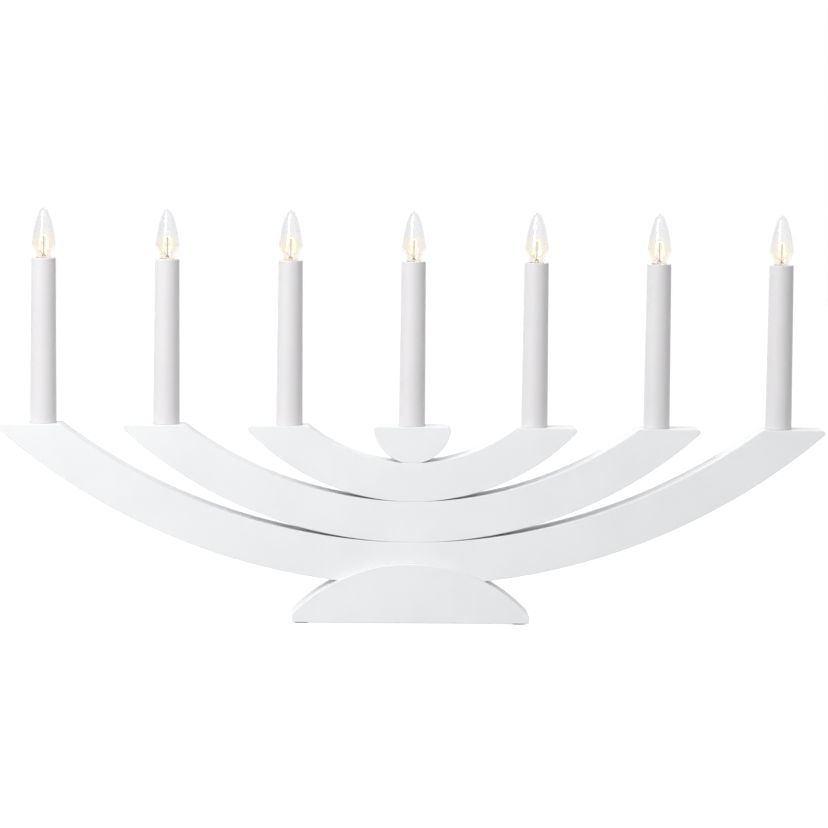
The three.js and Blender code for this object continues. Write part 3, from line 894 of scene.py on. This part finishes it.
def between_circles(name, inner, outer, centre, end_angle, front, rear):
    """A cutter between two radii about a centre on the Z axis: at angle a from straight down a
    point lies at (radius sin a, centre - radius cos a)."""
    angle = np.linspace(-end_angle, end_angle, 161)
    ring = []
    for radius, y in ((inner, front), (outer, front), (outer, rear), (inner, rear)):
        z = centre - radius * np.cos(angle)
        ring.append(np.column_stack([radius * np.sin(angle), np.full_like(angle, y), z]))
    return surface(name, np.stack(ring, axis=1), capped=True)


def riser_cutter(low, high):
    """Cuts the upright slot in the rear faces that the riser lies in."""
    half, floor_y = GROOVE_WIDTH / 2, RISER_Y - WIRE_RADIUS - FIT
    return block("riser cutter", (-half, floor_y, low), (half, REAR + PAST, high))


def arcs():
    """The three arcs, each with its wiring groove in the rear and the slot of the riser."""
    tops = {"outer_arc": "middle_arc", "middle_arc": "inner_arc", "inner_arc": "centre_plinth"}
    for name, (candle, beyond, inside) in ARCS.items():
        x = candle_x(candle)
        bottom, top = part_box(name)[0].z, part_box(tops[name])[0].z
        centre, radius = edge_circle(bottom, x + beyond)
        path, half = radius - GROOVE_RISE, GROOVE_WIDTH / 2
        floor_y = ARC_WIRE_Y - WIRE_RADIUS - FIT
        end = math.asin((x + half) / path)
        groove = (path - half, path + half, centre, end, floor_y, REAR + PAST)
        cutters = [between_circles("groove", *groove), riser_cutter(bottom - PAST, top + PAST)]
        body = board(f"{name}_board", arc_edges(bottom, top, x + beyond, x - inside), FRONT, REAR)
        place_piece(carved(body, cutters), "stand", "painted_wood", name)
        arc_wire(name.replace("_arc", "_wire"), x, centre, path)


def plinth():
    """The half disc under the middle candle, with the riser's slot."""
    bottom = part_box("centre_plinth")[0].z
    edges = arc_edges(bottom, None, PLINTH_REACH, PLINTH_REACH)
    body = board("plinth_block", edges, FRONT, REAR)
    slot = riser_cutter(bottom - PAST, SPIGOT_END - WIRE_RADIUS)
    place_piece(carved(body, [slot]), "stand", "painted_wood", "centre_plinth")


def base():
    """The half-moon base, housed for the outer arc behind its front lip and bored for the cord
    outlet and the screws' heads."""
    low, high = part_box("base")
    body = board("base_board", base_edges(low.z, high.z, high.x), low.y, high.y)
    behind, half = REAR + PAST, GROOVE_WIDTH / 2
    centre, radius = edge_circle(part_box("outer_arc")[0].z, candle_x(7) + ARCS["outer_arc"][1])
    reach = math.asin((high.x + PAST) / radius)
    housing = (radius - high.z, radius + FIT, centre, reach, FRONT - FIT, behind)
    sink, bored = REAR - BUSH_SINK, REAR - BUSH_LENGTH - FIT
    slot_front = REAR - BUSH_LENGTH - 2 * WIRE_LAYER
    cutters = [
        between_circles("housing", *housing),
        rod("outlet mouth", BUSH_FLANGE + FIT, (0, sink, BUSH_Z), (0, behind, BUSH_Z)),
        rod("outlet bore", BUSH_HOLE, (0, bored, BUSH_Z), (0, behind, BUSH_Z)),
        block("riser slot", (-half, slot_front, BUSH_Z - half), (half, behind, high.z + PAST)),
    ]
    for side in ("left", "right"):
        x, foot = middle_x(f"base_screw_{side}"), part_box(f"base_screw_{side}")[0].z
        hole = (x, AXIS_Y, -PAST), (x, AXIS_Y, foot + HEAD_SINK)
        cutters.append(rod("screw recess", HEAD_HOLE, *hole))
    place_piece(carved(body, cutters), "stand", "painted_wood", "base")


def pads():
    """Die-cut pads with round corners: |x/a|^8 + |y/b|^8 = 1 round the outline, and a small round
    at each rim."""
    angle = round_angles(96)
    powers = np.abs(np.cos(angle)) ** PAD_SQUARENESS + np.abs(np.sin(angle)) ** PAD_SQUARENESS
    stretch = powers ** (-1 / PAD_SQUARENESS)
    rim = np.radians(np.linspace(-90, 90, 9))
    inset = PAD_RIM * (1 - np.cos(rim))
    for side in ("left", "right"):
        low, high = (np.array(corner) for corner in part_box(f"base_pad_{side}"))
        middle, half = (low + high) / 2, (high - low) / 2
        level = middle[2] + half[2] * np.sin(rim)
        x = middle[0] + (half[0] - inset)[:, None] * stretch * np.cos(angle)
        y = middle[1] + (half[1] - inset)[:, None] * stretch * np.sin(angle)
        grid = np.stack([x, y, np.broadcast_to(level[:, None], x.shape)], axis=-1)
        mesh = surface(f"pad_{side}", grid, capped=True)
        place_piece(mesh, "stand", "pad_rubber", f"base_pad_{side}")


# Wiring


def arc_wire(wire, x, centre, radius):
    """One wire along an arc's groove, and a tail at each end that turns in under the lamp holder.

    In the groove a point lies at (radius sin a, centre - radius cos a), as in between_circles.
    """
    end = math.asin(x / radius)
    angle = np.linspace(-end, end, 121)
    groove_y = np.full_like(angle, ARC_WIRE_Y)
    run = np.column_stack([radius * np.sin(angle), groove_y, centre - radius * np.cos(angle)])
    run = tube(f"{wire}_run", run, WIRE_RADIUS, (0, 1, 0))
    place_piece(run, "stand", "wire_pvc", wire)
    z = centre - math.sqrt(radius**2 - x**2)
    for side, hand in ((-x, "left"), (x, "right")):
        corners = [(side, ARC_WIRE_Y, z), (side, AXIS_Y, z), (side, AXIS_Y, SPIGOT_END - FIT)]
        tail = tube(f"{wire}_tail_{hand}", bent(corners, WIRE_BEND), WIRE_RADIUS, (1, 0, 0))
        place_piece(tail, "stand", "wire_pvc", wire)


def riser_wire():
    """The wire from the middle lamp, down the rear and forward to the cord outlet."""
    bore_z = SPIGOT_END - WIRE_RADIUS - GROOVE_WIDTH / 2
    inner_y = REAR - BUSH_LENGTH - FIT - WIRE_RADIUS
    corners = [
        (0, AXIS_Y, SPIGOT_END - FIT),
        (0, AXIS_Y, bore_z),
        (0, RISER_Y, bore_z),
        (0, RISER_Y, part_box("outer_arc")[0].z - WIRE_BEND),
        (0, inner_y, BUSH_Z + BUSH_FLANGE),
        (0, inner_y, BUSH_Z),
    ]
    path = bent(corners, np.array(RISER_BENDS) * WIRE_BEND)
    run = tube("riser_wire_run", path, WIRE_RADIUS, (1, 0, 0))
    place_piece(run, "stand", "wire_pvc", "riser_wire")


def cord_outlet():
    """The cord outlet's bush: BUSH_PROFILE turned about a line along Y, so that a point is
    (radius cos a, along, radius sin a). Its flange ends flush with the rear."""
    profile = bent(np.array(BUSH_PROFILE) * MM, np.array(BUSH_BENDS) * MM)
    angle = round_angles(64)
    stretch = (BUSH_HIGH.y - BUSH_LOW.y) / BUSH_LENGTH
    radius, along = profile[:, :1], BUSH_LOW.y + profile[:, 1:] * stretch
    x, z = radius * np.cos(angle), BUSH_Z + radius * np.sin(angle)
    grid = np.stack([x, np.broadcast_to(along, x.shape), z], axis=-1)
    mesh = surface("outlet_bush", grid, loop=True)
    place_piece(mesh, "stand", "holder_plastic", "cord_gland")


def screws():
    """Countersunk screws, head down: the thread is r = root + depth |cos(pi z / pitch - a / 2)|³,
    fading at both ends. Two crossed blocks cut the head's recess."""
    for side in ("left", "right"):
        node = f"base_screw_{side}"
        low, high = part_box(node)
        x, length = middle_x(node), (high.z - low.z) / MM
        point = length - SCREW_POINT
        shank = np.linspace(SCREW_HEAD_HEIGHT, point, 180)
        taper = np.linspace(point, length, 24)[1:]
        rise = np.concatenate([[0, 0, SCREW_HEAD_RIM], shank, taper])
        knots = [0, SCREW_HEAD_RIM, SCREW_HEAD_HEIGHT, point, length]
        roots = [SCREW_HEAD_RADIUS, SCREW_HEAD_RADIUS, SCREW_ROOT, SCREW_POINT_ROOT, 0]
        core = np.interp(rise, knots, roots)
        core[0] = 0
        threaded = [*THREAD_GROWS, length - THREAD_FADES[0], length - THREAD_FADES[1]]
        window = np.interp(rise, threaded, [0, 1, 1, 0])
        ridge = np.abs(np.cos(np.pi * rise[:, None] / SCREW_PITCH - round_angles(48) / 2))
        radius = core[:, None] + SCREW_THREAD * (window[:, None] * ridge**3)
        height = (low.z - SLEEVE_TOP) / MM + rise
        mesh = turned(f"wood_screw_{side}", radius, column(height), x, sides=48)
        cross = []
        for across, deep in ((CROSS_REACH, CROSS_HALF), (CROSS_HALF, CROSS_REACH)):
            corner = (x - across, AXIS_Y - deep, low.z - PAST)
            opposite = (x + across, AXIS_Y + deep, low.z + CROSS_DEPTH)
            cross.append(block("cross recess", corner, opposite))
        place_piece(carved(mesh, cross), "stand", "zinc_steel", node)


def dowels():
    """Fluted beech dowels: r = radius (1 - 0.015 (1 + cos 20a)), with turned-down ends."""
    flutes = 1 - DOWEL_FLUTE_SHARE * (1 + np.cos(DOWEL_FLUTES * round_angles(80)))
    for node in ("arc_dowel_left", "arc_dowel_right", "inner_arc_dowel", "plinth_dowel"):
        low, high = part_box(node)
        full, length = (high.y - low.y) / 2 / MM, (high.z - low.z) / MM
        slim = full - DOWEL_TAPER
        lower = [(0, 0), (slim, 0), (full, DOWEL_TAPER_LENGTH)]
        upper = [(full, length - DOWEL_TAPER_LENGTH), (slim, length), (0, length)]
        profile = bent(lower + upper, DOWEL_BEND)
        height = (low.z - SLEEVE_TOP) / MM + profile[:, 1:]
        mesh = turned(f"fluted_{node}", profile[:, :1] * flutes, height, middle_x(node), sides=80)
        place_piece(mesh, "stand", "beech", node)


# Candles


def sleeve(number):
    """A tapered tube with a rolled-in lip that leaves a mouth for the bulb."""
    foot_in, top_in = SLEEVE_FOOT_RADIUS - SLEEVE_WALL, SLEEVE_TOP_RADIUS - SLEEVE_WALL
    seam = foot_in + SLEEVE_WALL / 2
    corners = [
        (seam, -SLEEVE_HEIGHT),
        (SLEEVE_FOOT_RADIUS, -SLEEVE_HEIGHT),
        (SLEEVE_TOP_RADIUS, 0),
        (SLEEVE_MOUTH, 0),
        (SLEEVE_MOUTH, -SLEEVE_LIP),
        (top_in, -SLEEVE_LIP),
        (foot_in, -SLEEVE_HEIGHT),
        (seam, -SLEEVE_HEIGHT),
    ]
    profile = bent(corners, SLEEVE_BENDS)
    place = {"x": candle_x(number), "loop": True, "sides": 96}
    mesh = turned(f"sleeve_tube_{number}", profile[:, :1], profile[:, 1:], **place)
    place_piece(mesh, "stand", "sleeve_plastic", f"candle_sleeve_{number}")


def glass_profile():
    """Radius over height of the bulb's glass. Neck: straight in the cap, flared to the sleeve's
    top. Shoulder: neck + (widest - neck) s²(3 - 2s). Taper: widest (1 - s^taper)^bluntness."""
    flare = smooth_step(np.linspace(0, 1, 9))
    neck_z = np.concatenate([[SEAL_FOOT], np.linspace(CAP_TOP, GLASS_NECK_TOP, 9)])
    neck = SEAL_RADIUS + (GLASS_NECK_RADIUS - SEAL_RADIUS) * flare
    share = np.linspace(0, 1, 17)[1:]
    shoulder_z = GLASS_NECK_TOP + (GLASS_WIDEST - GLASS_NECK_TOP) * share
    shoulder = GLASS_NECK_RADIUS + (GLASS_RADIUS - GLASS_NECK_RADIUS) * smooth_step(share)
    share = np.sin(np.linspace(0, np.pi / 2, 37)[1:])
    taper_z = GLASS_WIDEST + (GLASS_HEIGHT - GLASS_WIDEST) * share
    taper = GLASS_RADIUS * np.maximum(1 - share**GLASS_TAPER, 0) ** GLASS_BLUNTNESS
    radius = np.concatenate([[SEAL_RADIUS], neck, shoulder, taper])
    return radius, np.concatenate([neck_z, shoulder_z, taper_z])


def envelope(number):
    """The blown glass: an outer skin and an inner one GLASS_WALL inside it, joined at the seal.

    The wall is measured square to the skin, up to a slope of 2.5, and is thicker at the tip.
    """
    radius, height = glass_profile()
    slope = np.gradient(radius, height)
    slope[-1] = slope[-2]
    inner = np.maximum(radius - GLASS_WALL * np.hypot(1, np.clip(slope, -2.5, 2.5)), 0)
    inner[-1] = 0
    inner_z = np.minimum(height, height[-1] - 2 * GLASS_WALL)
    radius, height = np.concatenate([inner[::-1], radius]), np.concatenate([inner_z[::-1], height])
    x = candle_x(number)
    mesh = turned(f"bulb_envelope_{number}", column(radius), column(height), x)
    place_piece(mesh, f"bulb_{number}", "bulb_glass", f"bulb_glass_{number}")


def cap(number):
    """The screw cap: r = radius - depth (1 - cos(2 pi z / pitch - a)) / 2, a right-hand thread,
    then the insulator's cone below it and the solder tip, a quarter ellipse over its height."""
    x, body, node = candle_x(number), f"bulb_{number}", f"bulb_cap_{number}"
    rise = np.linspace(INSULATOR_TOP, CAP_TOP, 73)
    threaded = [INSULATOR_TOP, INSULATOR_TOP + 0.6, CAP_TOP - 0.8, CAP_TOP - 0.3]
    window = np.interp(rise, threaded, [0.4, 1, 1, 0])
    wave = 1 - np.cos(2 * np.pi * rise[:, None] / CAP_PITCH - round_angles(72))
    outer = CAP_RADIUS - CAP_THREAD * window[:, None] * wave / 2
    radius = np.concatenate([outer, outer[::-1] - CAP_WALL])
    height = column(np.concatenate([rise, rise[::-1]]))
    shell = turned(f"screw_cap_{number}", radius, height, x, loop=True)
    place_piece(shell, body, "nickel_cap", node)

    wall = CAP_RADIUS - CAP_THREAD - CAP_WALL
    lap, step = INSULATOR_TOP + INSULATOR_LAP, INSULATOR_TOP - INSULATOR_STEP
    corners = [(0, lap), (wall, lap), (wall, step), (CONTACT_RADIUS, CAP_FOOT), (0, CAP_FOOT)]
    profile = bent(corners, INSULATOR_BEND)
    cone = turned(f"cap_insulator_{number}", profile[:, :1], profile[:, 1:], x, sides=48)
    place_piece(cone, body, "nickel_cap", node, VITRITE)

    fall = np.linspace(0, np.pi / 2, 9)
    radius = np.concatenate([[0], CONTACT_RADIUS * np.cos(fall)])
    drop = (CONTACT_FOOT - CAP_FOOT) * np.sin(fall)
    height = np.concatenate([[CAP_FOOT], CAP_FOOT + drop])
    tip = turned(f"solder_tip_{number}", column(radius), column(height), x, sides=48)
    place_piece(tip, f"bulb_tip_{number}", "solder", f"bulb_contact_{number}")


def in_bulb(number, points):
    """Points given in millimetres from a bulb's axis and the sleeve's top, turned as its hoop is,
    in metres of the frame."""
    turn = math.radians(HOOP_TURNS[number - 1])
    points = np.asarray(points, float)
    x = points[:, 0] * math.cos(turn) - points[:, 1] * math.sin(turn)
    y = points[:, 0] * math.sin(turn) + points[:, 1] * math.cos(turn)
    return np.column_stack([x, y, points[:, 2]]) * MM + (candle_x(number), AXIS_Y, SLEEVE_TOP)


def mount(number):
    """What stands in the glass: the flared stem with its bead, two leads, a support and the hoop.

    The hoop's legs lean in a little and meet in a half round: a point of it lies at
    (-half cos a, top - half + half sin a).
    """
    body, node = f"bulb_{number}", f"bulb_filament_{number}"
    profile = bent(STEM, STEM_BENDS)
    place = {"x": candle_x(number), "sides": 40}
    stem = turned(f"glass_stem_{number}", profile[:, :1], profile[:, 1:], **place)
    place_piece(stem, body, "bulb_glass", node)

    turn = math.radians(HOOP_TURNS[number - 1])
    side = (-math.sin(turn), math.cos(turn), 0)
    thin = {"radius": SUPPORT_RADIUS * MM, "side": side, "sides": 12}
    for hand, sign in (("left", -1), ("right", 1)):
        corners = [(sign * out, 0, height) for out, height in LEAD]
        lead = tube(f"lead_{hand}_{number}", in_bulb(number, bent(corners, LEAD_BEND)), **thin)
        place_piece(lead, body, "nickel_cap", node)
    corners = [(0, 0, height) for height in SUPPORT_HEIGHTS]
    support = tube(f"support_{number}", in_bulb(number, corners), **thin)
    place_piece(support, body, "nickel_cap", node, MOLYBDENUM)

    angle = np.linspace(0, np.pi, 41)
    top = HOOP_TOP - HOOP_TOP_HALF + HOOP_TOP_HALF * np.sin(angle)
    arch = np.column_stack([-HOOP_TOP_HALF * np.cos(angle), 0 * angle, top])
    feet = [(-LEAD_SPREAD, 0, HOOP_FOOT)], [(LEAD_SPREAD, 0, HOOP_FOOT)]
    line = in_bulb(number, np.concatenate([feet[0], arch, feet[1]]))
    coil = tube(f"hoop_{number}", line, FILAMENT_RADIUS * MM, side, sides=12)
    place_piece(coil, body, "filament", node)


bpy.context.scene.view_settings.view_transform = "Standard"
camera()
lamps()
world()
floor()
dress_nodes()
base()
arcs()
plinth()
pads()
riser_wire()
cord_outlet()
screws()
dowels()
for number in CANDLES:
    sleeve(number)
    envelope(number)
    cap(number)
    mount(number)
